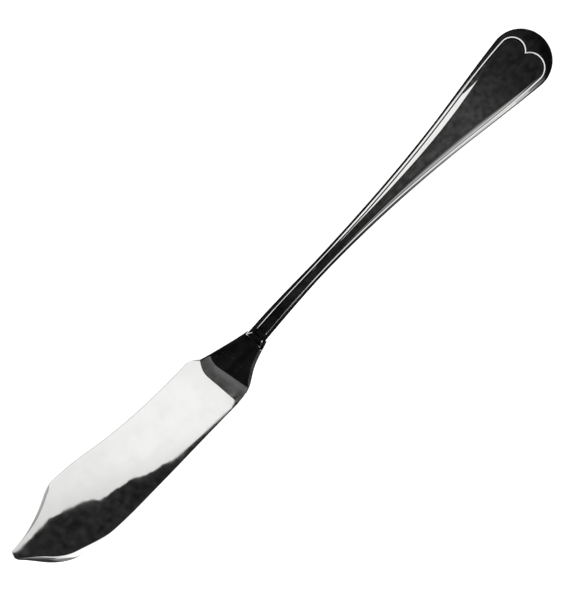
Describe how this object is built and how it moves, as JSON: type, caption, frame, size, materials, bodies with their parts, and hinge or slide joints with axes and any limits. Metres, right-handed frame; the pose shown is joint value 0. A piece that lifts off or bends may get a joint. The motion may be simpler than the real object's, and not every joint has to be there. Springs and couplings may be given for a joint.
{
  "type": "fish knife",
  "caption": "Fish knife with a broad notched blade, a fan-shaped shoulder and a slender filled handle bordered by a thread and heart, for lifting and parting fish at table.",
  "frame": {"origin": "centre of the round butt of the handle, on the flat back panel that the knife rests on", "axes": "+X along the handle towards the butt, +Y towards the back of the blade, +Z out of the front face"},
  "size_m": [0.205, 0.0222, 0.005],
  "materials": {
    "plated_handle": "polished",
    "plated_shoulder": "polished",
    "plated_blade": "polished",
    "pin_wire": "satin",
    "solder": "satin",
    "cement": "matte"
  },
  "bodies": {
    "root": {"handle_front": "plated_handle", "handle_back": "plated_handle", "handle_seam_solder": "solder", "mouth_solder": "solder", "handle_filler": "cement", "shoulder": "plated_shoulder", "shoulder_pins": "pin_wire", "blade": "plated_blade"}
  },
  "joints": []
}
